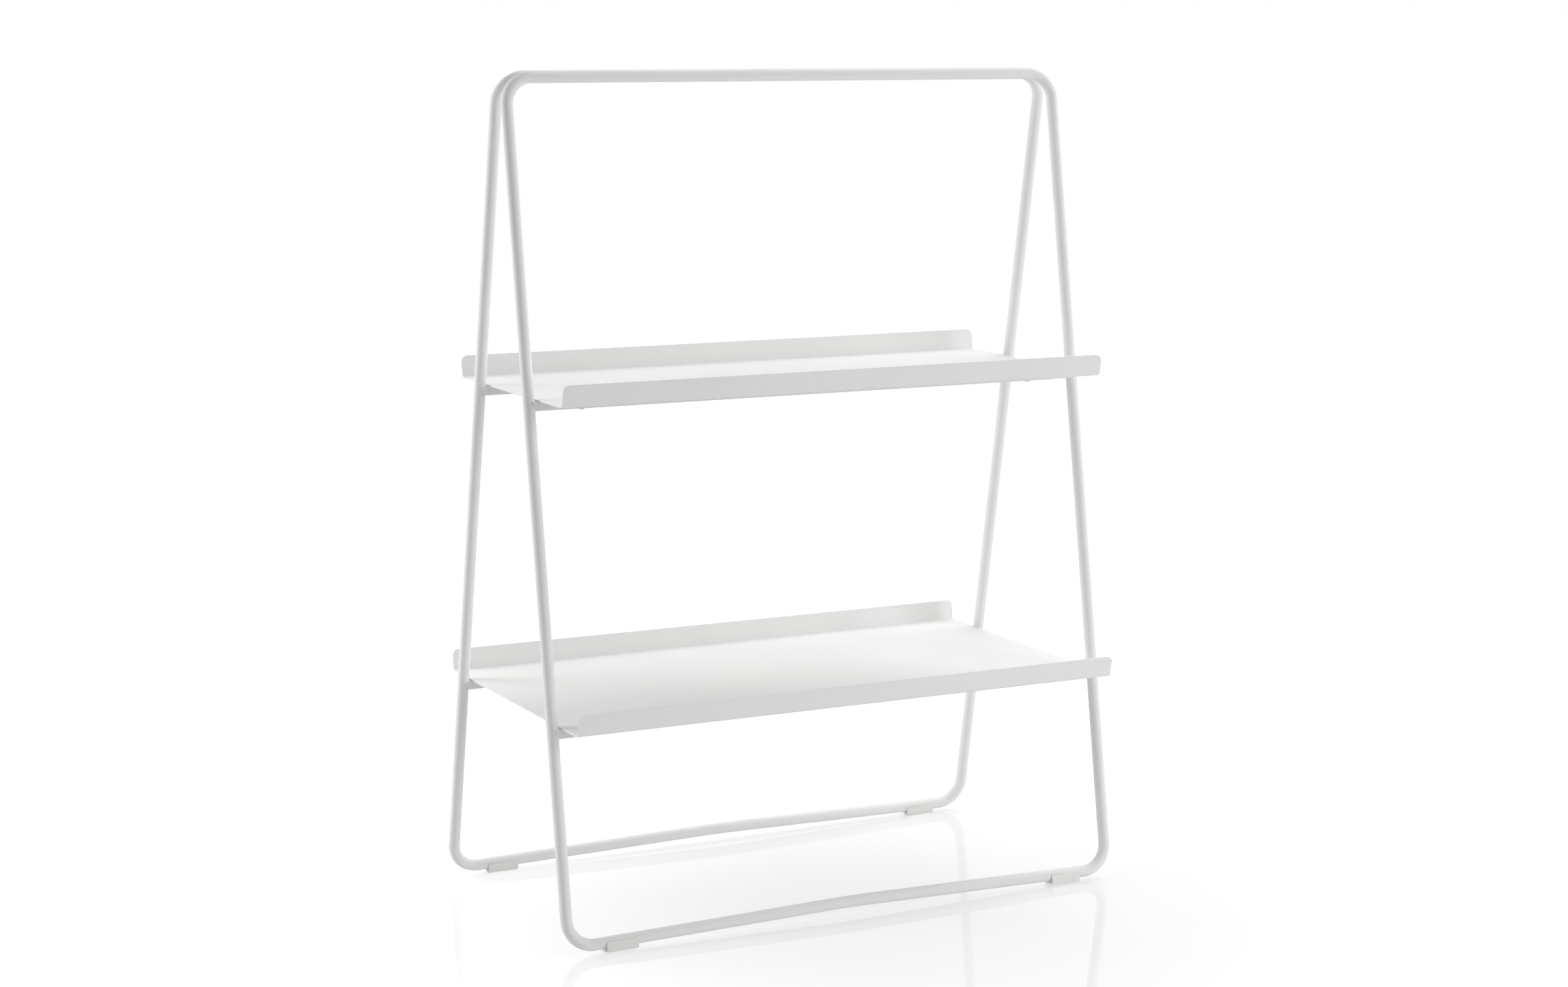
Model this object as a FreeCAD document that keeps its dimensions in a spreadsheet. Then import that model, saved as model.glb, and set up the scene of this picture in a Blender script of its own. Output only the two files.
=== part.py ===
"""Two-tier A-frame shelf: two round tube loops lean together and carry two folded sheet trays.

The frame stands on four saddle pads. +X runs along the shelf, -Y is its front, +Z is up, and the
origin lies on the floor under the middle of the shelf. All sizes are millimetres.
"""
import FreeCAD, Part
import math
import os
import re
import Sketcher
from FreeCAD import Placement, Rotation, Vector

# Driving sizes, each set by itself
SIZES = {
    # Tube loops: the bars bow up in the middle by bar_bow, and the top bars stand top_gap apart
    "overall_height": 856.0,
    "loop_width": 628.0,
    "foot_spread": 308.0,
    "tube_diameter": 12.0,
    "tube_wall": 1.5,
    "bend_radius": 28.0,
    "bar_bow": 5.5,
    "bow_radius": 1500.0,
    "top_gap": 7.4,
    # Square rails and the weld beads at their ends
    "rail_size": 10.0,
    "rail_wall": 1.2,
    "weld_run": 3.0,
    "weld_toe": 0.25,
    "weld_drop": 0.6,
    "weld_flank_gap": 0.15,
    # Trays folded from sheet, with flanges that flare outwards
    "upper_tray_height": 538.3,
    "lower_tray_height": 221.5,
    "upper_tray_depth": 259.0,
    "lower_tray_depth": 327.0,
    "tray_end_gap": 1.0,
    "sheet_thickness": 1.5,
    "fold_radius": 3.0,
    "flange_height": 22.6,
    "flange_flare": 3.8,
    "flange_corner_radius": 7.0,
    # Threaded studs under the trays, and the button-head screws that pull them onto the rails
    "fixing_inset": 56.0,
    "stud_side_gap": 0.3,
    "stud_end_gap": 0.2,
    "stud_roof": 1.4,
    "stud_hole_clearance": 0.2,
    "screw_diameter": 4.0,
    "screw_hole_clearance": 0.2,
    "screw_tip_gap": 0.6,
    "thread_clearance": 0.05,
    "head_diameter": 7.6,
    "head_height": 1.5,
    "head_rim": 0.3,
    "socket_across_flats": 2.5,
    "socket_depth": 1.1,
    # Spacers and saddle washers at the top
    "spacer_inset": 94.0,
    "spacer_diameter": 9.0,
    "washer_diameter": 10.0,
    "washer_crown": 1.2,
    # Saddle pads under the loops
    "pad_length": 34.0,
    "pad_bend_gap": 10.5,
    "pad_clearance": 0.1,
    "sole_thickness": 2.8,
    "sole_side": 2.0,
    "sole_lift": 0.4,
    "sole_edge": 0.6,
    "lip_rise": 1.5,
    "lip_thickness": 0.8,
}

# Sizes that follow from the driving ones
DERIVED = {
    "tube_radius": "tube_diameter / 2",
    "tube_bore": "tube_diameter - 2 * tube_wall",
    "leg_offset": "loop_width / 2",
    "foot_offset": "foot_spread / 2",
    "top_offset": "(tube_diameter + top_gap) / 2",
    "bow_reach": "sqrt(leg_offset ^ 2 + (bow_radius - bar_bow) ^ 2)",
    "bow_angle": "atan(leg_offset / (bow_radius - bar_bow)) - acos(bow_radius / bow_reach)",
    "pad_inset": "bend_radius + pad_bend_gap + pad_length / 2",
    "pad_offset": "leg_offset - pad_inset",
    "pad_rise": "pad_inset * tan(bow_angle)",
    "foot_axis_height": "tube_radius + sole_thickness + sole_lift - pad_rise",
    "top_axis_height": "overall_height - tube_radius",
    "loop_rise": "top_axis_height - foot_axis_height",
    "lean_slope": "(foot_offset - top_offset) / loop_rise",
    "lean_angle": "atan(lean_slope)",
    "loop_height": "sqrt(loop_rise ^ 2 + (foot_offset - top_offset) ^ 2)",
    "upper_rail_axis": "upper_tray_height - rail_size / 2",
    "lower_rail_axis": "lower_tray_height - rail_size / 2",
    "upper_rail_offset": "foot_offset - (upper_rail_axis - foot_axis_height) * lean_slope",
    "lower_rail_offset": "foot_offset - (lower_rail_axis - foot_axis_height) * lean_slope",
    "rail_bore": "rail_size - 2 * rail_wall",
    "tray_length": "loop_width - tube_diameter - 2 * tray_end_gap",
    "fixing_offset": "leg_offset - fixing_inset",
    "stud_diameter": "rail_bore - 2 * stud_side_gap",
    "stud_length": "rail_size - rail_wall - stud_end_gap",
    "stud_hole": "stud_diameter + 2 * stud_hole_clearance",
    "screw_hole": "screw_diameter + 2 * screw_hole_clearance",
    "thread_bore": "screw_diameter + 2 * thread_clearance",
    "tray_screw_length": "rail_size - stud_roof - screw_tip_gap",
    "top_screw_length": "top_gap + tube_diameter + washer_crown - screw_tip_gap",
    "spacer_offset": "leg_offset - spacer_inset",
    "washer_face": "top_offset + tube_radius + washer_crown",
    "pad_bore_radius": "tube_radius + pad_clearance",
    "sole_drop": "tube_radius + sole_thickness",
    "sole_half_width": "tube_radius + sole_side",
    "lip_reach": "sqrt(pad_bore_radius ^ 2 - lip_rise ^ 2)",
}

# The weld beads begin inside the leg, this share of its radius from its axis
WELD_ROOT_SHARE = 0.2

# A sketch's own numbers for the points of a line or arc, and for its axes
START, END, CENTRE = range(1, 4)
H_AXIS, V_AXIS = range(-1, -3, -1)
SKETCH_ORIGIN = (H_AXIS, START)
X_WAY, Y_WAY, Z_WAY = Vector(1, 0, 0), Vector(0, 1, 0), Vector(0, 0, 1)
ALONG_X = Rotation(Z_WAY, X_WAY)
ALONG_Y = Rotation(Z_WAY, Y_WAY)
AGAINST_Y = Rotation(Z_WAY, -Y_WAY)

doc = FreeCAD.newDocument("a_frame_shelf")
sheet = doc.addObject("Spreadsheet::Sheet", "sizes")
pieces = []


def fill_sheet():
    """Write the driving sizes and the formulas into the sheet, each with its alias."""
    formulas = {name: f"={formula}" for name, formula in DERIVED.items()}
    cells = {**{name: str(value) for name, value in SIZES.items()}, **formulas}
    for row, (name, content) in enumerate(cells.items(), start=1):
        sheet.set(f"A{row}", name)
        sheet.set(f"B{row}", content)
        sheet.setAlias(f"B{row}", name)
    doc.recompute()


def size(name):
    """A size as the sheet gives it, in millimetres or degrees."""
    value = sheet.get(name)
    return float(getattr(value, "Value", value))


def in_sheet(expression):
    """The expression with each size read from the sheet."""
    def cell(word):
        return f"sizes.{word[0]}" if word[0] in SIZES or word[0] in DERIVED else word[0]
    return re.sub(r"[A-Za-z_]\w*", cell, expression)


def bind(thing, **expressions):
    """Bind properties of an object to expressions of sizes."""
    for name, expression in expressions.items():
        thing.setExpression(name, in_sheet(expression))
    return thing


def place(thing, turn=Rotation(), **expressions):
    """Turn an object and bind the coordinates of its place, given as x, y and z."""
    thing.Placement = Placement(Vector(), turn)
    for axis, expression in expressions.items():
        thing.setExpression(f"Placement.Base.{axis}", in_sheet(expression))
    return thing


def in_front_loop(x, z, turn=Rotation()):
    """A place in the plane of the front loop, whose zero is the middle of the line of its feet."""
    lean = Rotation(X_WAY, -size("lean_angle"))
    loop = Placement(Vector(0, -size("foot_offset"), size("foot_axis_height")), lean)
    return loop.multiply(Placement(Vector(x, 0, z), turn))


def piece(thing, name):
    """Name a finished piece, or group of like pieces; its shape is written under that name."""
    thing.Label = name
    pieces.append(thing)
    return thing


def cut(base, *tools):
    """Take one or more tools away from a base."""
    for tool in tools:
        result = doc.addObject("Part::Cut", f"{base.Name}_cut")
        result.Base = base
        result.Tool = tool
        base = result
    return base


def group(name, *things):
    """Things that stay separate solids of one shape."""
    result = doc.addObject("Part::Compound", name)
    result.Links = list(things)
    return result


def mirrored(thing, normal):
    """The mirror image of an object in the middle plane that has this normal."""
    result = doc.addObject("Part::Mirroring", f"{thing.Name}_mirrored")
    result.Source = thing
    result.Normal = normal
    return result


def both_sides(thing):
    """An object and its image on the other side of the shelf."""
    return [thing, mirrored(thing, X_WAY)]


def four_corners(thing):
    """An object and its images at the other three corners of the shelf."""
    pair = both_sides(thing)
    return pair + [mirrored(item, Y_WAY) for item in pair]


def cylinder(name, diameter, height, turn=Rotation(), **where):
    """A cylinder whose sizes and place are expressions."""
    result = doc.addObject("Part::Cylinder", name)
    bind(result, Radius=f"({diameter}) / 2", Height=height)
    return place(result, turn, **where)


def box(name, length, width, height, **where):
    """A box whose sizes and lowest corner are expressions."""
    result = doc.addObject("Part::Box", name)
    bind(result, Length=length, Width=width, Height=height)
    return place(result, **where)


def origin_plane(body, role):
    """One of a body's own origin planes."""
    return next(item for item in body.Origin.OriginFeatures if item.Role == role)


def new_sketch(body, name, role):
    """A sketch on one of the body's origin planes."""
    sketch = body.newObject("Sketcher::SketchObject", name)
    sketch.AttachmentSupport = [(origin_plane(body, role), "")]
    sketch.MapMode = "FlatFace"
    return sketch


def line(sketch, start, end):
    """A line between two points given as pairs."""
    return sketch.addGeometry(Part.LineSegment(Vector(*start), Vector(*end)))


def arc(sketch, centre, radius, first, last):
    """An arc from one angle to another, anticlockwise, in degrees."""
    circle = Part.Circle(Vector(*centre), Z_WAY, radius)
    return sketch.addGeometry(Part.ArcOfCircle(circle, math.radians(first), math.radians(last)))


def rule(sketch, *terms):
    """A geometric constraint."""
    sketch.addConstraint(Sketcher.Constraint(*terms))


def measure(sketch, kind, *terms, by):
    """A dimensional constraint whose value is an expression of sizes."""
    index = sketch.addConstraint(Sketcher.Constraint(kind, *terms, size_of(by)))
    sketch.setExpression(f"Constraints[{index}]", in_sheet(by))


def size_of(expression):
    """The value of an expression of sizes, for a constraint's first guess."""
    value = sheet.evalExpression(expression)
    return float(getattr(value, "Value", value))


def mirror_feature(body, name, feature, role):
    """Mirror a feature of a body in one of its origin planes."""
    result = body.newObject("PartDesign::Mirrored", name)
    result.Originals = [feature]
    result.MirrorPlane = (origin_plane(body, role), [""])
    body.Tip = result
    return result


def fillet_edges(body, name, feature, radius, wanted):
    """Round the edges of a feature that the test picks out."""
    doc.recompute()
    names = [f"Edge{index}" for index, edge in enumerate(feature.Shape.Edges, start=1) if wanted(edge)]
    result = body.newObject("PartDesign::Fillet", name)
    result.Base = (feature, names)
    bind(result, Radius=radius)
    return result


def draw_loop_path(sketch):
    """The right half of a loop's centre line: bowed foot bar, corner, leg, corner, top bar."""
    bow, bow_radius, bend = size("bar_bow"), size("bow_radius"), size("bend_radius")
    leg, height, slope = size("leg_offset"), size("loop_height"), size("bow_angle")
    sine, cosine = math.sin(math.radians(slope)), math.cos(math.radians(slope))
    bow_end = (bow_radius * sine, bow - bow_radius + bow_radius * cosine)
    corner_x = leg - bend
    corner_z = (bend + (leg - corner_x) * sine) / cosine
    low_bend = (corner_x - bend * sine, corner_z - bend * cosine)
    curve = arc(sketch, (0, bow - bow_radius), bow_radius, 90 - slope, 90)
    foot = line(sketch, bow_end, low_bend)
    foot_bend = arc(sketch, (corner_x, corner_z), bend, 270 - slope, 360)
    upright = line(sketch, (leg, corner_z), (leg, height - bend))
    top_bend = arc(sketch, (corner_x, height - bend), bend, 0, 90)
    top = line(sketch, (corner_x, height), (0, height))
    corner = sketch.addGeometry(Part.Point(Vector(leg, 0)), True)
    rule(sketch, "Tangent", curve, START, foot, START)
    rule(sketch, "Tangent", foot, END, foot_bend, START)
    rule(sketch, "Tangent", foot_bend, END, upright, START)
    rule(sketch, "Tangent", upright, END, top_bend, START)
    rule(sketch, "Tangent", top_bend, END, top, START)
    rule(sketch, "Vertical", upright)
    rule(sketch, "Horizontal", top)
    rule(sketch, "PointOnObject", curve, CENTRE, V_AXIS)
    rule(sketch, "PointOnObject", curve, END, V_AXIS)
    rule(sketch, "PointOnObject", top, END, V_AXIS)
    rule(sketch, "PointOnObject", corner, START, H_AXIS)
    rule(sketch, "PointOnObject", corner, START, foot)
    measure(sketch, "Radius", curve, by="bow_radius")
    measure(sketch, "Radius", foot_bend, by="bend_radius")
    measure(sketch, "Radius", top_bend, by="bend_radius")
    measure(sketch, "DistanceY", *SKETCH_ORIGIN, curve, END, by="bar_bow")
    measure(sketch, "DistanceY", *SKETCH_ORIGIN, top, END, by="loop_height")
    measure(sketch, "DistanceX", *SKETCH_ORIGIN, upright, START, by="leg_offset")
    measure(sketch, "DistanceX", *SKETCH_ORIGIN, corner, START, by="leg_offset")


def make_loops():
    """The two closed tube loops; screws pass through the top bar of the rear one."""
    body = doc.addObject("PartDesign::Body", "loop")
    path = new_sketch(body, "loop_path", "XZ_Plane")
    draw_loop_path(path)
    ring = new_sketch(body, "loop_ring", "YZ_Plane")
    centre = Vector(0, size("bar_bow"))
    wall = [ring.addGeometry(Part.Circle(centre, Z_WAY, size(name) / 2))
            for name in ("tube_diameter", "tube_bore")]
    rule(ring, "PointOnObject", wall[0], CENTRE, V_AXIS)
    rule(ring, "Coincident", wall[0], CENTRE, wall[1], CENTRE)
    measure(ring, "DistanceY", *SKETCH_ORIGIN, wall[0], CENTRE, by="bar_bow")
    measure(ring, "Diameter", wall[0], by="tube_diameter")
    measure(ring, "Diameter", wall[1], by="tube_bore")
    half = body.newObject("PartDesign::AdditivePipe", "loop_half")
    half.Profile = ring
    half.Spine = path
    mirror_feature(body, "loop_whole", half, "YZ_Plane")
    body.Placement = in_front_loop(0, 0)
    piece(body, "front_loop")
    holes = [cylinder(f"top_hole_{side}", "screw_hole", "tube_diameter", ALONG_Y, x=f"{sign} * spacer_offset",
                      y="top_offset - tube_radius", z="top_axis_height")
             for side, sign in (("left", -1), ("right", 1))]
    piece(cut(mirrored(body, Y_WAY), *holes), "rear_loop")


def make_leg():
    """The outside of the front right leg, which rails and welds are fitted to."""
    leg = doc.addObject("Part::Cylinder", "leg_outside")
    bind(leg, Radius="tube_radius", Height="loop_height")
    leg.Placement = in_front_loop(size("leg_offset"), 0)
    return leg


def make_rails(tier, legs):
    """The front and rear rail of a tier, coped to the legs and bored for studs and screws."""
    offset, axis = f"{tier}_rail_offset", f"{tier}_rail_axis"
    outside = box(f"{tier}_rail_outside", "loop_width", "rail_size", "rail_size", x="-leg_offset",
                  y=f"-{offset} - rail_size / 2", z=f"{axis} - rail_size / 2")
    inside = box(f"{tier}_rail_inside", "loop_width", "rail_bore", "rail_bore", x="-leg_offset",
                 y=f"-{offset} - rail_bore / 2", z=f"{axis} - rail_bore / 2")
    holes = []
    for side, sign in (("left", -1), ("right", 1)):
        where = {"x": f"{sign} * fixing_offset", "y": f"-{offset}"}
        holes += [cylinder(f"{tier}_stud_hole_{side}", "stud_hole", "rail_size", z=axis, **where),
                  cylinder(f"{tier}_screw_hole_{side}", "screw_hole", "rail_size",
                           z=f"{axis} - rail_size", **where)]
    rail = piece(cut(outside, inside, *legs, *holes), f"{tier}_front_rail")
    piece(mirrored(rail, Y_WAY), f"{tier}_rear_rail")


def make_weld(tier, leg):
    """The bead round the sides and bottom of a rail's right end, which widens towards the leg."""
    offset, axis = f"{tier}_rail_offset", f"{tier}_rail_axis"
    bead = doc.addObject("Part::Wedge", f"{tier}_weld_outside")
    toe, flank = "(rail_size / 2 + weld_toe)", "(tube_radius - weld_flank_gap)"
    bind(bead, Ymin="0", Ymax=f"weld_run + tube_radius * {1 - WELD_ROOT_SHARE}",
         Xmin=f"-{toe}", Xmax=toe, Zmin=f"-{toe}", Zmax="rail_size / 2",
         X2min=f"-{flank}", X2max=flank, Z2min="-(rail_size / 2 + weld_drop)", Z2max="rail_size / 2")
    place(bead, Rotation(Y_WAY, X_WAY), x="leg_offset - tube_radius - weld_run",
          y=f"-{offset}", z=axis)
    rail = box(f"{tier}_rail_end", "rail_size", "rail_size", "rail_size",
               x="leg_offset - rail_size", y=f"-{offset} - rail_size / 2", z=f"{axis} - rail_size / 2")
    return cut(bead, rail, leg)


def make_welds(leg):
    """The four beads of each loop."""
    beads = [bead for tier in ("upper", "lower") for bead in both_sides(make_weld(tier, leg))]
    front = piece(group("front_beads", *beads), "front_loop_welds")
    piece(mirrored(front, Y_WAY), "rear_loop_welds")


def draw_tray_profile(sketch, depth):
    """Half of a tray's section: floor, fold and flared flange, all one thickness."""
    half, rise, flare = size_of(depth) / 2, size("flange_height"), size("flange_flare")
    thick, fold = size("sheet_thickness"), size("fold_radius")
    tilt = math.degrees(math.atan2(flare, rise))
    fold_y = half - (fold + thick) * math.tan(math.radians((90 - tilt) / 2))
    out_y, out_z = math.cos(math.radians(tilt)), -math.sin(math.radians(tilt))
    centre = (fold_y, fold + thick)
    low, high = [(centre[0] + reach * out_y, centre[1] + reach * out_z) for reach in (fold + thick, fold)]
    tip = (half + flare, rise)
    tip_inside = (tip[0] - thick * out_y, tip[1] - thick * out_z)
    under = line(sketch, (0, 0), (fold_y, 0))
    outer_fold = arc(sketch, centre, fold + thick, -90, -tilt)
    outer_face = line(sketch, low, tip)
    edge = line(sketch, tip, tip_inside)
    inner_face = line(sketch, tip_inside, high)
    inner_fold = arc(sketch, centre, fold, -90, -tilt)
    floor = line(sketch, (fold_y, thick), (0, thick))
    middle = line(sketch, (0, thick), (0, 0))
    corner = sketch.addGeometry(Part.Point(Vector(half, 0)), True)
    rule(sketch, "Coincident", under, START, *SKETCH_ORIGIN)
    rule(sketch, "Horizontal", under)
    rule(sketch, "Tangent", under, END, outer_fold, START)
    rule(sketch, "Tangent", outer_fold, END, outer_face, START)
    rule(sketch, "Coincident", outer_face, END, edge, START)
    rule(sketch, "Perpendicular", outer_face, edge)
    rule(sketch, "Coincident", edge, END, inner_face, START)
    rule(sketch, "Parallel", outer_face, inner_face)
    rule(sketch, "Tangent", inner_face, END, inner_fold, END)
    rule(sketch, "Coincident", inner_fold, CENTRE, outer_fold, CENTRE)
    rule(sketch, "Tangent", inner_fold, START, floor, START)
    rule(sketch, "Horizontal", floor)
    rule(sketch, "Coincident", floor, END, middle, START)
    rule(sketch, "Vertical", middle)
    rule(sketch, "Coincident", middle, END, under, START)
    rule(sketch, "PointOnObject", corner, START, H_AXIS)
    rule(sketch, "PointOnObject", corner, START, outer_face)
    measure(sketch, "Radius", inner_fold, by="fold_radius")
    measure(sketch, "DistanceY", under, START, floor, END, by="sheet_thickness")
    measure(sketch, "DistanceX", *SKETCH_ORIGIN, corner, START, by=f"{depth} / 2")
    measure(sketch, "DistanceX", corner, START, outer_face, END, by="flange_flare")
    measure(sketch, "DistanceY", *SKETCH_ORIGIN, outer_face, END, by="flange_height")


def make_tray(tier):
    """A tray folded from one sheet, open at its ends, with rounded corners on its flanges."""
    body = doc.addObject("PartDesign::Body", f"{tier}_tray_sheet")
    profile = new_sketch(body, f"{tier}_tray_profile", "YZ_Plane")
    draw_tray_profile(profile, f"{tier}_tray_depth")
    half = body.newObject("PartDesign::Pad", f"{tier}_tray_half")
    half.Profile = profile
    half.SideType = "Symmetric"
    bind(half, Length="tray_length")
    whole = mirror_feature(body, f"{tier}_tray_whole", half, "XZ_Plane")
    thick, rise = size("sheet_thickness"), size("flange_height")

    def at_flange_corner(edge):
        return edge.CenterOfMass.z > rise - thick and edge.Length < thick + thick

    fillet_edges(body, f"{tier}_tray_corners", whole, "flange_corner_radius", at_flange_corner)
    piece(place(body, z=f"{tier}_tray_height"), f"{tier}_tray")


def make_studs(tier):
    """The threaded studs under a tray, one for each screw."""
    where = {"x": "fixing_offset", "y": f"-{tier}_rail_offset"}
    stud = cylinder(f"{tier}_stud_outside", "stud_diameter", "stud_length",
                    z=f"{tier}_tray_height - stud_length", **where)
    bore = cylinder(f"{tier}_stud_bore", "thread_bore", "stud_length",
                    z=f"{tier}_tray_height - stud_length - stud_roof", **where)
    piece(group(f"{tier}_studs", *four_corners(cut(stud, bore))), f"{tier}_tray_studs")


def draw_screw_profile(sketch, length):
    """Half of a button-head screw's section: its shank points up from the seat of its head."""
    shank, head = size("screw_diameter") / 2, size("head_diameter") / 2
    rise, rim, reach = size("head_height"), size("head_rim"), size_of(length)
    dome = (head ** 2 + (rise - rim) ** 2) / (rise - rim) / 2
    rim_angle = math.degrees(math.atan2(dome - rise + rim, head))
    tip = line(sketch, (0, reach), (shank, reach))
    side = line(sketch, (shank, reach), (shank, 0))
    seat = line(sketch, (shank, 0), (head, 0))
    edge = line(sketch, (head, 0), (head, -rim))
    crown = arc(sketch, (0, dome - rise), dome, -90, -rim_angle)
    middle = line(sketch, (0, -rise), (0, reach))
    for first, second in ((tip, side), (side, seat), (seat, edge), (middle, tip)):
        rule(sketch, "Coincident", first, END, second, START)
    rule(sketch, "Coincident", edge, END, crown, END)
    rule(sketch, "Coincident", crown, START, middle, START)
    for flat in (tip, seat):
        rule(sketch, "Horizontal", flat)
    for upright in (side, edge):
        rule(sketch, "Vertical", upright)
    rule(sketch, "PointOnObject", crown, CENTRE, V_AXIS)
    rule(sketch, "PointOnObject", middle, START, V_AXIS)
    rule(sketch, "PointOnObject", middle, END, V_AXIS)
    rule(sketch, "PointOnObject", seat, START, H_AXIS)
    measure(sketch, "DistanceX", *SKETCH_ORIGIN, side, END, by="screw_diameter / 2")
    measure(sketch, "DistanceX", *SKETCH_ORIGIN, seat, END, by="head_diameter / 2")
    measure(sketch, "DistanceY", edge, END, edge, START, by="head_rim")
    measure(sketch, "DistanceY", middle, START, *SKETCH_ORIGIN, by="head_height")
    measure(sketch, "DistanceY", *SKETCH_ORIGIN, middle, END, by=length)


def make_screw(name, length):
    """A button-head screw with a hexagon socket, its shank along +Z from zero."""
    body = doc.addObject("PartDesign::Body", f"{name}_blank")
    profile = new_sketch(body, f"{name}_profile", "XZ_Plane")
    draw_screw_profile(profile, length)
    turned = body.newObject("PartDesign::Revolution", f"{name}_turned")
    turned.Profile = profile
    turned.ReferenceAxis = (profile, ["V_Axis"])
    socket = doc.addObject("Part::Prism", f"{name}_socket")
    bind(socket, Circumradius="socket_across_flats / sqrt(3)", Height="2 * socket_depth")
    place(socket, z="-head_height - socket_depth")
    return cut(body, socket)


def make_tray_screws(tier):
    """The screws that hold a tray down on its rails."""
    screw = make_screw(f"{tier}_tray_screw", "tray_screw_length")
    place(screw, x="fixing_offset", y=f"-{tier}_rail_offset", z=f"{tier}_rail_axis - rail_size / 2")
    piece(group(f"{tier}_screws", *four_corners(screw)), f"{tier}_tray_screws")


def make_top_joint():
    """Threaded spacers between the top bars, with screws and saddle washers behind the rear one."""
    where = {"x": "spacer_offset", "z": "top_axis_height"}
    spacer = cylinder("spacer_outside", "spacer_diameter", "2 * top_offset", ALONG_Y,
                      y="-top_offset", **where)
    bore = cylinder("spacer_bore", "thread_bore", "2 * top_offset", ALONG_Y, y="-top_offset", **where)
    bars = [cylinder(f"{name}_bar_outside", "tube_diameter", "loop_width", ALONG_X, x="-leg_offset",
                     y=f"{sign} * top_offset", z="top_axis_height")
            for name, sign in (("front", -1), ("rear", 1))]
    right = piece(cut(spacer, bore, *bars), "top_spacer_right")
    piece(mirrored(right, X_WAY), "top_spacer_left")
    washer = cylinder("washer_outside", "washer_diameter", "washer_face - top_offset", ALONG_Y,
                      y="top_offset", **where)
    hole = cylinder("washer_hole", "screw_hole", "washer_face", ALONG_Y, y="top_offset", **where)
    washers = both_sides(cut(washer, hole, bars[1]))
    piece(group("washers", *washers), "top_saddle_washers")
    screw = place(make_screw("top_screw", "top_screw_length"), AGAINST_Y, y="washer_face", **where)
    piece(group("top_pair", *both_sides(screw)), "top_screws")


def draw_pad_profile(sketch):
    """A pad's section: flat sole, sides that draw in to thin lips, and the bore for the tube."""
    half, drop, lip = size("sole_half_width"), size("sole_drop"), size("lip_rise")
    bore, reach = size("pad_bore_radius"), size("lip_reach")
    wide = reach + size("lip_thickness")
    angle = math.degrees(math.asin(lip / bore))
    sole = line(sketch, (-half, -drop), (half, -drop))
    right = line(sketch, (half, -drop), (wide, lip))
    right_lip = line(sketch, (wide, lip), (reach, lip))
    saddle = arc(sketch, (0, 0), bore, 180 - angle, 360 + angle)
    left_lip = line(sketch, (-reach, lip), (-wide, lip))
    left = line(sketch, (-wide, lip), (-half, -drop))
    for first, second in ((sole, right), (right, right_lip), (left_lip, left), (left, sole)):
        rule(sketch, "Coincident", first, END, second, START)
    rule(sketch, "Coincident", right_lip, END, saddle, END)
    rule(sketch, "Coincident", saddle, START, left_lip, START)
    rule(sketch, "Coincident", saddle, CENTRE, *SKETCH_ORIGIN)
    rule(sketch, "Horizontal", right_lip)
    rule(sketch, "Symmetric", sole, START, sole, END, V_AXIS)
    rule(sketch, "Symmetric", right, END, left, START, V_AXIS)
    rule(sketch, "Horizontal", left_lip)
    measure(sketch, "Radius", saddle, by="pad_bore_radius")
    measure(sketch, "DistanceX", sole, START, sole, END, by="2 * sole_half_width")
    measure(sketch, "DistanceY", sole, START, *SKETCH_ORIGIN, by="sole_drop")
    measure(sketch, "DistanceY", *SKETCH_ORIGIN, right, END, by="lip_rise")
    measure(sketch, "DistanceX", right_lip, END, right_lip, START, by="lip_thickness")


def make_pads():
    """The four saddle pads: each leans with its loop, and the floor cuts a flat along its sole."""
    body = doc.addObject("PartDesign::Body", "pad_blank")
    profile = new_sketch(body, "pad_profile", "YZ_Plane")
    draw_pad_profile(profile)
    block = body.newObject("PartDesign::Pad", "pad_block")
    block.Profile = profile
    block.SideType = "Symmetric"
    bind(block, Length="pad_length")
    lip = size("lip_rise")

    def on_outside(edge):
        return edge.Curve.TypeId == "Part::GeomLine" and edge.CenterOfMass.z < lip / 2

    fillet_edges(body, "pad_edges", block, "sole_edge", on_outside)
    slope = Rotation(Y_WAY, size("bow_angle"))
    body.Placement = in_front_loop(size("pad_offset"), size("pad_rise"), slope)
    ground = box("ground", "2 * pad_length", "4 * sole_half_width", "sole_drop", x="pad_offset - pad_length",
                 y="-foot_offset - 2 * sole_half_width", z="-sole_drop")
    names = ("front_right", "front_left", "rear_right", "rear_left")
    for name, pad in zip(names, four_corners(cut(body, ground))):
        piece(pad, f"{name}_pad")


def write_pieces():
    """Check every object, then write each piece to its own file."""
    doc.recompute()
    failed = [item.Label for item in doc.Objects if {"Invalid", "Error"} & set(item.State)]
    loose = [item.Label for item in doc.Objects
             if item.isDerivedFrom("Sketcher::SketchObject") and not item.FullyConstrained]
    broken = [item.Label for item in pieces if item.Shape.isNull() or not item.Shape.isValid()]
    if failed or loose or broken:
        raise RuntimeError(f"failed: {failed}, not fully constrained: {loose}, broken shapes: {broken}")
    os.makedirs("parts", exist_ok=True)
    for item in pieces:
        item.Shape.exportStep(f"parts/{item.Label}.step")
        corners = item.Shape.BoundBox
        print(f"{item.Label:20s} {len(item.Shape.Solids)} solid(s), {item.Shape.Volume:9.1f} mm3, "
              f"x {corners.XMin:7.1f} to {corners.XMax:6.1f}, y {corners.YMin:7.1f} to "
              f"{corners.YMax:6.1f}, z {corners.ZMin:6.1f} to {corners.ZMax:6.1f}")


fill_sheet()
make_loops()
right_leg = make_leg()
for tier_name in ("upper", "lower"):
    make_rails(tier_name, both_sides(right_leg))
make_welds(right_leg)
for tier_name in ("upper", "lower"):
    make_tray(tier_name)
    make_studs(tier_name)
    make_tray_screws(tier_name)
make_top_joint()
make_pads()
write_pieces()
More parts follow.
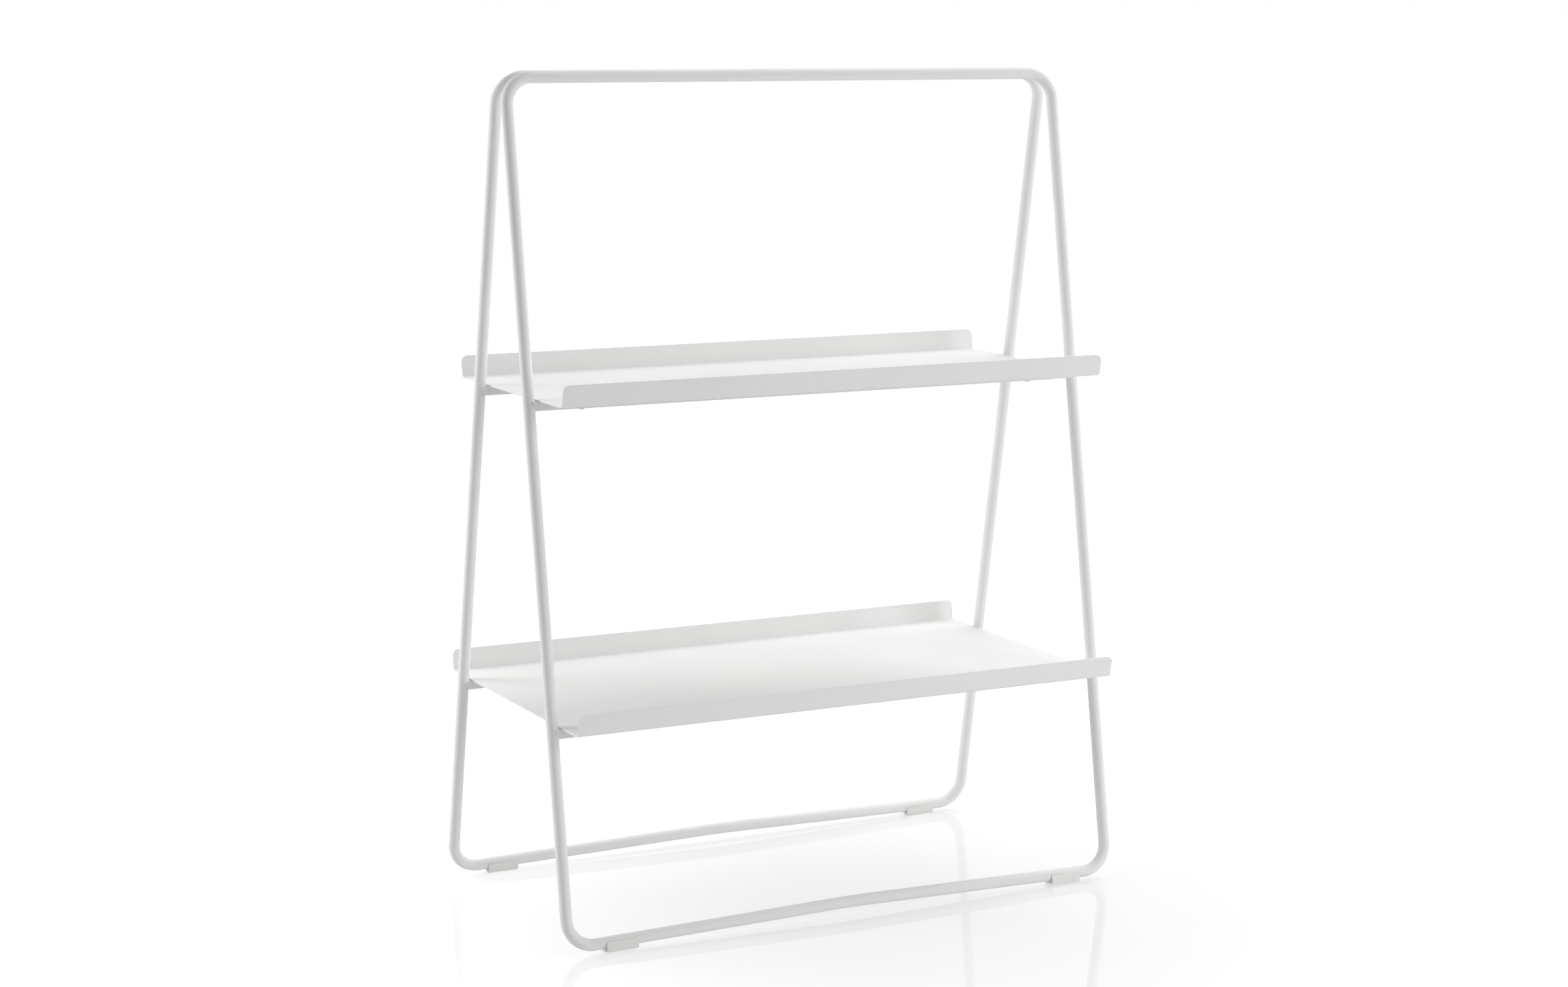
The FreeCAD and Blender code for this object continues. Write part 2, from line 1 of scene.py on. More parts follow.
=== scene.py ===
"""Looks of a two-tier A-frame shelf: two leaning tube loops carry two folded sheet trays.

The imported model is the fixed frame: +X runs along the shelf, -Y is its front, +Z is up, and the
origin lies on the floor under its middle. All lengths here are metres.
"""

import logging
import math
from collections.abc import Iterable
from dataclasses import dataclass, field
from enum import Enum

import bmesh
import bpy
from mathutils import Matrix, Vector

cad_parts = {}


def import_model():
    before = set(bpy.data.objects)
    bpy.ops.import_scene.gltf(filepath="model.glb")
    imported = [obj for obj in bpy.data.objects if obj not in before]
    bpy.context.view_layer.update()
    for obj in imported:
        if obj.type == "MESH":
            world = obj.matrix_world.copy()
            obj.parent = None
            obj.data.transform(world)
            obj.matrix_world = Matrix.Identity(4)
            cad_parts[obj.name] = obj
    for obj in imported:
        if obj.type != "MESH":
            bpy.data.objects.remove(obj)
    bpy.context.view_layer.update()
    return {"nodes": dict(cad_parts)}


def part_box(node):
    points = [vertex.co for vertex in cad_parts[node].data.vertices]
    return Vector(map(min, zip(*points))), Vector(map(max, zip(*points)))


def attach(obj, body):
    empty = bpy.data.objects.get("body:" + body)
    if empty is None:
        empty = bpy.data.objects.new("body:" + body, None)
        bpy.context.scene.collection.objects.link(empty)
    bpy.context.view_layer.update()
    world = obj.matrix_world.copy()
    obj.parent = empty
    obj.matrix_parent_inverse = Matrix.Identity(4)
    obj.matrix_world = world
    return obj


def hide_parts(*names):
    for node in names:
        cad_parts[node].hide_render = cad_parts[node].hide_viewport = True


log = logging.getLogger("a_frame_shelf")

X_WAY, Y_WAY, Z_WAY = Vector((1, 0, 0)), Vector((0, 1, 0)), Vector((0, 0, 1))
NEAR, VERY_NEAR = 0.00001, 0.000001
NOISE_MIDDLE = 0.5
WHITE = (1, 1, 1, 1)
Colour = Place = tuple[float, float, float]
Span = tuple[float, float]
Feeds = dict[str | int, object]
BodyMesh, BMVert, BMEdge = bmesh.types.BMesh, bmesh.types.BMVert, bmesh.types.BMEdge


class End(Enum):
    """The two ends of the shelf."""

    LEFT = -1
    RIGHT = 1


class Row(Enum):
    """The two long sides of the shelf."""

    FRONT = -1
    REAR = 1


class Tier(Enum):
    """The two tray levels."""

    UPPER = "upper"
    LOWER = "lower"


# Materials


class Signal:
    """A socket whose value varies over a surface; arithmetic on it adds Math nodes."""

    def __init__(self, graph: "Graph", socket: bpy.types.NodeSocket) -> None:
        """Hold an output socket of a node in a graph."""
        self.graph = graph
        self.socket = socket

    def _maths(self, operation: str, *terms: "Signal | float") -> "Signal":
        """Add a Math node.

        Args:
            operation: The node's operation.
            terms: Its inputs in order.

        Returns:
            The node's result.
        """
        feeds = dict(enumerate(terms))
        return self.graph.make("ShaderNodeMath", {"operation": operation}, feeds)["Value"]

    def __add__(self, other: "Signal | float") -> "Signal":
        """Sum."""
        return self._maths("ADD", self, other)

    def __radd__(self, other: float) -> "Signal":
        """Sum with a number on the left."""
        return self._maths("ADD", other, self)

    def __sub__(self, other: "Signal | float") -> "Signal":
        """Difference."""
        return self._maths("SUBTRACT", self, other)

    def __rsub__(self, other: float) -> "Signal":
        """Difference from a number on the left."""
        return self._maths("SUBTRACT", other, self)

    def __mul__(self, other: "Signal | float") -> "Signal":
        """Product."""
        return self._maths("MULTIPLY", self, other)

    def __rmul__(self, other: float) -> "Signal":
        """Product with a number on the left."""
        return self._maths("MULTIPLY", other, self)

    def either(self, other: "Signal | float") -> "Signal":
        """The greater of two values."""
        return self._maths("MAXIMUM", self, other)

    def ramp(self, low: float, high: float) -> "Signal":
        """Add a smooth step.

        Args:
            low: The value that gives 0.
            high: The value that gives 1, which may be the lesser of the two.

        Returns:
            The step, from 0 to 1.
        """
        rise = self.graph.make(
            "ShaderNodeMapRange", {"interpolation_type": "SMOOTHSTEP", "clamp": True},
            {"Value": self, "From Min": min(low, high), "From Max": max(low, high)})["Result"]
        return rise if low < high else 1 - rise


class Outputs:
    """The outputs of one node, by name or number."""

    def __init__(self, graph: "Graph", node: bpy.types.Node) -> None:
        """Hold a node of a graph."""
        self.graph = graph
        self.node = node

    def __getitem__(self, key: str | int) -> Signal:
        """One output."""
        return Signal(self.graph, self.node.outputs[key])


class Graph:
    """The node tree of a material or of the world."""

    NOISE_ROUGHNESS = 0.55
    MIX_COLOURS = (6, 7)
    MIX_RESULT = 2

    def __init__(self, owner: bpy.types.Material | bpy.types.World) -> None:
        """Empty the owner's tree.

        Args:
            owner: The material or world whose nodes are made.
        """
        owner.use_nodes = True
        self.tree = owner.node_tree
        self.tree.nodes.clear()

    def make(self, kind: str, settings: dict[str, object] | None = None,
             feeds: Feeds | None = None) -> Outputs:
        """Make one node.

        Args:
            kind: The node's type.
            settings: Its own settings, set before its sockets.
            feeds: The value or link of each input socket, by name or number.

        Returns:
            The node's outputs.
        """
        node = self.tree.nodes.new(kind)
        for name, value in (settings or {}).items():
            setattr(node, name, value)
        for key, value in (feeds or {}).items():
            if isinstance(value, Signal):
                self.tree.links.new(value.socket, node.inputs[key])
            else:
                node.inputs[key].default_value = value
        return Outputs(self, node)

    def vector(self, operation: str, *terms: Signal | Place) -> Outputs:
        """Add a Vector Math node with its inputs in order."""
        return self.make("ShaderNodeVectorMath", {"operation": operation}, dict(enumerate(terms)))

    def noise(self, where: Signal, size: float, detail: float = 2.0, seed: float = 0.0) -> Signal:
        """Add noise from 0 to 1.

        Args:
            where: The position that it is read at.
            size: The size of its blotches, in metres.
            detail: Its number of finer layers.
            seed: Moves the pattern, so that two noises differ.

        Returns:
            The noise.
        """
        shifted = self.vector("ADD", where, (seed, 2 * seed, 3 * seed))["Vector"]
        return self.make("ShaderNodeTexNoise", {"noise_dimensions": "3D"},
                         {"Vector": shifted, "Scale": 1 / size, "Detail": detail,
                          "Roughness": self.NOISE_ROUGHNESS})["Fac"]

    def blend(self, factor: Signal, low: Signal | Colour, high: Signal | Colour) -> Signal:
        """Mix two colours.

        Args:
            factor: 0 gives low and 1 gives high.
            low: The first colour.
            high: The second colour.

        Returns:
            The mixed colour.
        """
        feeds: Feeds = {0: factor}
        for key, colour in zip(self.MIX_COLOURS, (low, high)):
            feeds[key] = colour if isinstance(colour, Signal) else (*colour, 1)
        return self.make("ShaderNodeMix", {"data_type": "RGBA"}, feeds)[self.MIX_RESULT]

    def bump(self, height: Signal, depth: float, under: Signal | None = None) -> Signal:
        """Turn a height from 0 to 1 into a normal.

        Args:
            height: The relief.
            depth: The height in metres that 1 stands for.
            under: A normal that this relief lies on.

        Returns:
            The normal.
        """
        feeds: Feeds = {"Height": height, "Distance": depth, "Strength": 1.0}
        if under is not None:
            feeds["Normal"] = under
        return self.make("ShaderNodeBump", None, feeds)["Normal"]


class Finish:
    """How one kind of surface looks, made a material when first used."""

    name: str
    slot: str

    def material(self) -> bpy.types.Material:
        """Find the finish's material, or make it at first use.

        Returns:
            The material.
        """
        found = bpy.data.materials.get(self.name)
        if found is not None:
            return found
        made = bpy.data.materials.new(self.name)
        graph = Graph(made)
        where = graph.make("ShaderNodeTexCoord")["Object"]
        surface = graph.make("ShaderNodeBsdfPrincipled", None, self.surface(graph, where))
        graph.make("ShaderNodeOutputMaterial", None, {"Surface": surface["BSDF"]})
        return made

    def surface(self, graph: Graph, where: Signal) -> Feeds:
        """Work out what feeds the Principled shader.

        Args:
            graph: The material's nodes.
            where: The position on the piece.

        Returns:
            The values and links of the shader's sockets.
        """
        raise NotImplementedError


@dataclass(frozen=True)
class DarkSpot:
    """A small dark spot with a ragged edge on a corner of the sheet."""

    place: Place
    radius: float = 0.0011
    edge: Span = (1.05, 0.85)
    seed: float = 7.0
    colour: Colour = (0.10, 0.10, 0.10)

    def mask(self, graph: Graph, where: Signal) -> Signal:
        """Mark the dark spot.

        Args:
            graph: The material's nodes.
            where: The position on the piece.

        Returns:
            1 inside the dark spot and 0 elsewhere.
        """
        away = graph.vector("DISTANCE", where, self.place)["Value"]
        rags = graph.noise(where, self.radius, seed=self.seed) - NOISE_MIDDLE
        ragged = away + rags * self.radius
        return ragged.ramp(*(self.radius * share for share in self.edge))


@dataclass(frozen=True)
class PowderCoat(Finish):
    """White satin powder coat: an even film with a faint orange peel and fine grains."""

    name: str
    slot: str = "frame_paint"
    colour: Colour = (0.845, 0.845, 0.838)
    thin_colour: Colour = (0.815, 0.816, 0.812)
    roughness: float = 0.56
    gloss: float = 0.11
    peel_size: float = 0.0016
    peel_depth: float = 0.000018
    peel_roughness: float = 0.10
    grain_size: float = 0.00028
    grain_depth: float = 0.000006
    grain_range: Span = (0.45, 0.8)
    grain_share: float = 0.3
    cloud_size: float = 0.16
    cloud_range: Span = (0.35, 0.75)
    cloud_share: float = 0.7
    cloud_roughness: float = 0.06
    ripple_size: float = 0.0
    ripple_slope: float = 0.12
    seed: float = 0.0
    dark_spot: DarkSpot | None = None

    def surface(self, graph: Graph, where: Signal) -> Feeds:
        """Give the film its colour, sheen and relief.

        Args:
            graph: The material's nodes.
            where: The position on the piece.

        Returns:
            The values and links of the shader's sockets.
        """
        clouds = graph.noise(where, self.cloud_size, seed=self.seed)
        grains = graph.noise(where, self.grain_size, detail=1.0, seed=self.seed + 1)
        peel = graph.noise(where, self.peel_size, seed=self.seed + 2)
        thinness = (clouds.ramp(*self.cloud_range) * self.cloud_share
                    + grains.ramp(*self.grain_range) * self.grain_share)
        colour = graph.blend(thinness, self.colour, self.thin_colour)
        roughness = (self.roughness + (peel - NOISE_MIDDLE) * self.peel_roughness
                     + (clouds - NOISE_MIDDLE) * self.cloud_roughness)
        normal = graph.bump(peel, self.peel_depth)
        normal = graph.bump(grains, self.grain_depth, normal)
        if self.ripple_size:
            ripples = graph.noise(where, self.ripple_size, detail=1.0, seed=self.seed + 3)
            normal = graph.bump(ripples, self.ripple_size * self.ripple_slope, normal)
        # A small dark spot with a ragged edge, where the coat is given one.
        if self.dark_spot is not None:
            colour = graph.blend(self.dark_spot.mask(graph, where), colour, self.dark_spot.colour)
        return {"Base Color": colour, "Roughness": roughness, "Normal": normal,
                "Specular IOR Level": self.gloss}


@dataclass(frozen=True)
class MouldedPlastic(Finish):
    """Matt light grey plastic with the fine spark-eroded texture of its mould."""

    name: str = "moulded_pad_plastic"
    slot: str = "pad_plastic"
    colour: Colour = (0.81, 0.81, 0.79)
    # One darker colour serves both the flow marks and the painted contact shade.
    flow_and_shade_colour: Colour = (0.75, 0.75, 0.73)
    roughness: float = 0.55
    refraction: float = 1.46
    texture_size: float = 0.0005
    texture_depth: float = 0.00002
    texture_roughness: float = 0.16
    texture_seed: float = 4.0
    flow_size: float = 0.012
    flow_range: Span = (0.45, 0.8)
    flow_share: float = 0.5
    flow_seed: float = 3.0
    # Painted contact shade: the plastic darkens in patches in the lowest 2.2 mm over the floor.
    contact_shade_height: float = 0.0022
    contact_shade_range: Span = (0.4, 0.65)

    def surface(self, graph: Graph, where: Signal) -> Feeds:
        """Give the plastic faint flow marks, its mould's texture, and a patchy painted contact
        shade close to the floor.

        Args:
            graph: The material's nodes.
            where: The position on the piece.

        Returns:
            The values and links of the shader's sockets.
        """
        flow = graph.noise(where, self.flow_size, seed=self.flow_seed)
        texture = graph.noise(where, self.texture_size, seed=self.texture_seed)
        height = graph.make("ShaderNodeSeparateXYZ", None, {"Vector": where})["Z"]
        # Painted contact shade, darker towards the floor, joined with the flow marks.
        contact_shade = height.ramp(self.contact_shade_height, 0.0) * texture.ramp(*self.contact_shade_range)
        marks_and_shade = contact_shade.either(flow.ramp(*self.flow_range) * self.flow_share)
        colour = graph.blend(marks_and_shade, self.colour, self.flow_and_shade_colour)
        roughness = self.roughness + (texture - NOISE_MIDDLE) * self.texture_roughness
        normal = graph.bump(texture, self.texture_depth)
        return {"Base Color": colour, "Roughness": roughness, "Normal": normal,
                "IOR": self.refraction}


@dataclass(frozen=True)
class ZincPlate(Finish):
    """Zinc-plated steel with a fine directionless brushing and small dull patches."""

    name: str = "zinc_plated_steel"
    slot: str = "screw_zinc"
    colour: Colour = (0.52, 0.52, 0.53)
    dull_colour: Colour = (0.40, 0.40, 0.41)
    roughness: float = 0.27
    patch_size: float = 0.0016
    patch_range: Span = (0.4, 0.7)
    patch_roughness: float = 0.14
    patch_seed: float = 5.0
    scratch_size: float = 0.00022
    scratch_depth: float = 0.000004
    scratch_seed: float = 6.0

    def surface(self, graph: Graph, where: Signal) -> Feeds:
        """Give the bright metal its duller patches and its brushing.

        Args:
            graph: The material's nodes.
            where: The position on the piece.

        Returns:
            The values and links of the shader's sockets.
        """
        patches = graph.noise(where, self.patch_size, detail=3.0, seed=self.patch_seed)
        patches = patches.ramp(*self.patch_range)
        scratches = graph.noise(where, self.scratch_size, detail=1.0, seed=self.scratch_seed)
        colour = graph.blend(patches, self.colour, self.dull_colour)
        roughness = self.roughness + patches * self.patch_roughness
        normal = graph.bump(scratches, self.scratch_depth)
        return {"Base Color": colour, "Roughness": roughness, "Metallic": 1.0, "Normal": normal}


# Geometry


@dataclass(frozen=True)
class Stance:
    """Where the two loops stand and how they lean, which all that they carry follows."""

    height: float = 0.856
    leg_offset: float = 0.314
    foot_offset: float = 0.154
    top_offset: float = 0.0097
    tube_radius: float = 0.006
    bend_radius: float = 0.028
    bar_bow: float = 0.0055
    bow_radius: float = 1.5
    pad_inset: float = 0.0555
    sole_drop: float = 0.0088
    sole_lift: float = 0.0004

    @property
    def bow_angle(self) -> float:
        """Work out how steeply the foot bar falls towards its corners.

        Returns:
            The angle in radians.
        """
        to_centre = self.bow_radius - self.bar_bow
        reach = math.hypot(self.leg_offset, to_centre)
        return math.atan2(self.leg_offset, to_centre) - math.acos(self.bow_radius / reach)

    @property
    def pad_rise(self) -> float:
        """Height of the foot bar's axis in a pad, over the corners' line."""
        return self.pad_inset * math.tan(self.bow_angle)

    @property
    def foot_height(self) -> float:
        """Height of the corners' line over the floor."""
        return self.sole_drop + self.sole_lift - self.pad_rise

    @property
    def rise(self) -> float:
        """Height from the corners' line to the axis of the top bar."""
        return self.height - self.tube_radius - self.foot_height

    @property
    def slope(self) -> float:
        """How far a leg leans in for each metre of height."""
        return (self.foot_offset - self.top_offset) / self.rise

    @property
    def loop_height(self) -> float:
        """Height of a loop's axis in its own plane."""
        return math.hypot(self.rise, self.foot_offset - self.top_offset)

    def offset_at(self, height: float) -> float:
        """Distance of the legs' axes from the middle plane at a height."""
        return self.foot_offset - (height - self.foot_height) * self.slope

    def front_plane(self) -> Matrix:
        """The front loop's own plane, whose zero is the middle of the corners' line."""
        place = Matrix.Translation((0, -self.foot_offset, self.foot_height))
        return place @ Matrix.Rotation(-math.atan(self.slope), 4, "X")


def held(value: float) -> float:
    """A value kept between 0 and 1."""
    return min(1.0, max(0.0, value))


def verts_in(items: Iterable[object]) -> list[BMVert]:
    """The vertices among some items of a mesh."""
    return [item for item in items if isinstance(item, BMVert)]


def edges_in(items: Iterable[object]) -> list[BMEdge]:
    """The edges among some items of a mesh."""
    return [item for item in items if isinstance(item, BMEdge)]


def whole(mesh: BodyMesh) -> list[object]:
    """All items of a mesh."""
    return [*mesh.verts, *mesh.edges, *mesh.faces]


def added(mesh: BodyMesh, old: set[BMVert]) -> list[BMVert]:
    """The vertices that a mesh has beside its old ones."""
    return [vert for vert in mesh.verts if vert not in old]


class Feed:
    """A section fed through straights and bends, which leaves its surface behind it."""

    def __init__(self, mesh: BodyMesh, section: Iterable[BMVert]) -> None:
        """Start from some vertices and the edges that join them.

        Args:
            mesh: The mesh that grows.
            section: The vertices of the section.
        """
        self.mesh = mesh
        verts = list(section)
        self._stand_at([*verts, *dict.fromkeys(edge for vert in verts for edge in vert.link_edges)])

    @property
    def verts(self) -> list[BMVert]:
        """The vertices of the section where it now stands."""
        return verts_in(self.end)

    def _stand_at(self, items: list[object]) -> None:
        """Take the vertices among some items, and the edges that join them, as the section."""
        inside = set(verts_in(items))
        joins = [edge for edge in edges_in(items) if inside.issuperset(edge.verts)]
        self.end: list[BMVert | BMEdge] = [*verts_in(items), *joins]

    def _spin(self, centre: Vector, axis: Vector, angle: float, step: Vector, parts: int,
              merge: bool = False) -> "Feed":
        """Carry the section round an axis and along a step, and keep where it ends.

        Args:
            centre: A point on the axis.
            axis: The direction of the axis.
            angle: The turn in radians, anticlockwise about the axis.
            step: How far and which way it also moves in each part.
            parts: The number of equal parts.
            merge: Whether the last section joins the first.

        Returns:
            The feed itself.
        """
        result = bmesh.ops.spin(self.mesh, geom=self.end, cent=centre, axis=axis, dvec=step,
                                angle=angle, steps=parts, use_merge=merge, use_duplicate=False)
        self._stand_at(result["geom_last"])
        return self

    def straight(self, way: Vector, parts: int = 1) -> "Feed":
        """Feed along a straight.

        Args:
            way: How far and which way.
            parts: The number of equal parts.

        Returns:
            The feed itself.
        """
        return self._spin(Vector(), X_WAY, 0.0, way / parts, parts)

    def straight_to(self, place: Vector) -> "Feed":
        """Feed a single point straight to a place."""
        return self.straight(place - self.verts[0].co)

    def bend(self, centre: Vector, axis: Vector, angle: float, parts: int) -> "Feed":
        """Feed round a bend.

        Args:
            centre: A point on the axis of the bend.
            axis: The direction of that axis.
            angle: The turn in radians, anticlockwise about the axis.
            parts: The number of equal parts.

        Returns:
            The feed itself.
        """
        return self._spin(centre, axis, angle, Vector(), parts)

    def turn_round(self, parts: int) -> "Feed":
        """Turn a profile once about Z and close the surface."""
        return self._spin(Vector(), Z_WAY, 2 * math.pi, Vector(), parts, merge=True)


def mirror_over(mesh: BodyMesh, way: str, merge: float = NEAR) -> None:
    """Add the mirror image of a mesh and join the two halves.

    Args:
        mesh: The half that is mirrored.
        way: The axis, X or Y, that the mirror plane stands across.
        merge: How near two vertices are joined.
    """
    bmesh.ops.mirror(mesh, geom=whole(mesh), matrix=Matrix(), merge_dist=merge, axis=way)
    bmesh.ops.remove_doubles(mesh, verts=mesh.verts, dist=merge)


def long_edges(mesh: BodyMesh, way: Vector, slant: float = 0.01) -> list[BMEdge]:
    """Find the edges that run along a direction.

    Args:
        mesh: The mesh.
        way: The direction.
        slant: The most that an edge may lean from it.

    Returns:
        The edges.
    """
    found = []
    for edge in mesh.edges:
        run = edge.verts[1].co - edge.verts[0].co
        if run.cross(way).length < run.length * slant:
            found.append(edge)
    return found


def round_off(mesh: BodyMesh, items: list[BMVert] | list[BMEdge], radius: float, parts: int,
              affect: str = "EDGES") -> None:
    """Round edges or corners with a bevel.

    Args:
        mesh: The mesh.
        items: The edges or vertices to round.
        radius: The radius.
        parts: The number of facets across the rounding.
        affect: Which of the two the items are, EDGES or VERTICES.
    """
    bmesh.ops.bevel(mesh, geom=items, offset=radius, offset_type="OFFSET", segments=parts,
                    profile=0.5, affect=affect, material=-1, clamp_overlap=True)


def show(name: str, data: bpy.types.ID) -> bpy.types.Object:
    """Put an object with some data in the scene.

    Args:
        name: Its name.
        data: Its mesh, lamp or camera.

    Returns:
        The object.
    """
    shown = bpy.data.objects.new(name, data)
    bpy.context.scene.collection.objects.link(shown)
    return shown


def show_mesh(name: str, mesh: BodyMesh) -> bpy.types.Object:
    """Put an object with a mesh in the scene.

    Args:
        name: Its name.
        mesh: Its mesh, which is freed.

    Returns:
        The object.
    """
    data = bpy.data.meshes.new(name)
    mesh.to_mesh(data)
    mesh.free()
    return show(name, data)


def smooth_by_area(piece: bpy.types.Object, weight: int = 80) -> None:
    """Let the large faces rule the shading, so that flats stay flat beside their roundings.

    Args:
        piece: The piece.
        weight: How strongly they rule it, where 50 is evenly and 100 is the most.
    """
    shading = piece.modifiers.new("shading", "WEIGHTED_NORMAL")
    shading.mode = "FACE_AREA"
    shading.weight = weight
    shading.keep_sharp = True


@dataclass(kw_only=True)
class Part:
    """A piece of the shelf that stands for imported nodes."""

    stance: Stance = field(default_factory=Stance)
    finish: Finish

    def title(self) -> str:
        """The name of the piece's object."""
        raise NotImplementedError

    def stands_for(self) -> tuple[str, ...]:
        """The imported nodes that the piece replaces."""
        raise NotImplementedError

    def shape(self) -> BodyMesh:
        """The mesh of the piece, in its place."""
        raise NotImplementedError

    def refine(self, piece: bpy.types.Object) -> None:
        """Add the modifiers that finish the mesh."""
        smooth_by_area(piece)

    def build(self) -> bpy.types.Object:
        """Returns:
            Its object.
        """
        piece = show_mesh(self.title(), self.shape())
        piece.data.shade_smooth()
        self.refine(piece)
        piece.data.materials.append(self.finish.material())
        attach(piece, "root")
        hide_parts(*self.stands_for())
        self.report(piece)
        return piece

    def report(self, piece: bpy.types.Object) -> None:
        """Log how far the piece's box differs from that of the nodes it stands for.

        Args:
            piece: The finished piece.
        """
        boxes = [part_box(node) for node in self.stands_for()]
        bpy.context.view_layer.update()
        shown = piece.evaluated_get(bpy.context.evaluated_depsgraph_get()).to_mesh()
        spots = [vert.co for vert in shown.vertices]
        gaps = []
        for corner, pick in enumerate((min, max)):
            for axis in range(3):
                packed = pick(box[corner][axis] for box in boxes)
                built = pick(spot[axis] for spot in spots)
                gaps.append(f"{(built - packed) * 1000:+.2f}")
        log.info("%-26s %6d faces; its box differs by %s and %s mm", piece.name,
                 len(shown.polygons), " ".join(gaps[:3]), " ".join(gaps[3:]))


@dataclass(kw_only=True)
class TubeLoop(Part):
    """One round tube bent to a closed loop: bowed foot bar, two legs and top bar."""

    row: Row
    sides: int = 48
    bow_parts: int = 16
    chord_parts: int = 2
    bend_parts: int = 24
    leg_parts: int = 12

    def title(self) -> str:
        """The name of the loop's object."""
        return f"{self.row.name.lower()}_tube_loop"

    def stands_for(self) -> tuple[str, ...]:
        """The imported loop."""
        return (f"{self.row.name.lower()}_loop",)

    def shape(self) -> BodyMesh:
        """Feed a ring round half of the loop, mirror it, and lean it over.

        Returns:
            The loop.
        """
        stance, mesh = self.stance, bmesh.new()
        angle, bend = stance.bow_angle, stance.bend_radius
        sine, cosine = math.sin(angle), math.cos(angle)
        upright = Matrix.Translation((0, 0, stance.bar_bow)) @ Matrix.Rotation(math.pi / 2, 4, "Y")
        ring = bmesh.ops.create_circle(mesh, cap_ends=False, segments=self.sides,
                                       radius=stance.tube_radius, matrix=upright)["verts"]
        bow_end = Vector((stance.bow_radius * sine, 0,
                          stance.bar_bow - stance.bow_radius * (1 - cosine)))
        low_x = stance.leg_offset - bend
        low_z = (bend + bend * sine) / cosine
        low_bend = Vector((low_x - bend * sine, 0, low_z - bend * cosine))
        leg = stance.loop_height - bend - low_z
        feed = Feed(mesh, ring)
        feed.bend(Vector((0, 0, stance.bar_bow - stance.bow_radius)), Y_WAY, angle, self.bow_parts)
        feed.straight(low_bend - bow_end, self.chord_parts)
        feed.bend(Vector((low_x, 0, low_z)), -Y_WAY, math.pi / 2 + angle, self.bend_parts)
        feed.straight(Z_WAY * leg, self.leg_parts)
        feed.bend(Vector((low_x, 0, low_z + leg)), -Y_WAY, math.pi / 2, self.bend_parts)
        feed.straight(X_WAY * -low_x, self.leg_parts)
        mirror_over(mesh, "X")
        bmesh.ops.transform(mesh, matrix=stance.front_plane(), verts=mesh.verts)
        if self.row is Row.REAR:
            bmesh.ops.scale(mesh, vec=(1, -1, 1), verts=mesh.verts)
        bmesh.ops.recalc_face_normals(mesh, faces=mesh.faces)
        return mesh


@dataclass(kw_only=True)
class Rail(Part):
    """A square tube with rounded corners that joins the two legs of a loop under a tray."""

    row: Row
    tier: Tier
    top: float
    size: float = 0.010
    corner: float = 0.0013
    corner_parts: int = 6
    reach: float = 0.3112

    def title(self) -> str:
        """The name of the rail's object."""
        return f"{self.tier.value}_{self.row.name.lower()}_square_rail"

    def stands_for(self) -> tuple[str, ...]:
        """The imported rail."""
        return (f"{self.tier.value}_{self.row.name.lower()}_rail",)

    def axis(self) -> Vector:
        """The middle of the rail."""
        height = self.top - self.size / 2
        return Vector((0, self.row.value * self.stance.offset_at(height), height))

    def shape(self) -> BodyMesh:
        """Round the four long edges of a bar.

        Returns:
            The rail.
        """
        mesh = bmesh.new()
        stretch = Matrix.Diagonal((2 * self.reach, self.size, self.size, 1))
        bmesh.ops.create_cube(mesh, size=1, matrix=Matrix.Translation(self.axis()) @ stretch)
        round_off(mesh, long_edges(mesh, X_WAY), self.corner, self.corner_parts)
        bmesh.ops.recalc_face_normals(mesh, faces=mesh.faces)
        return mesh


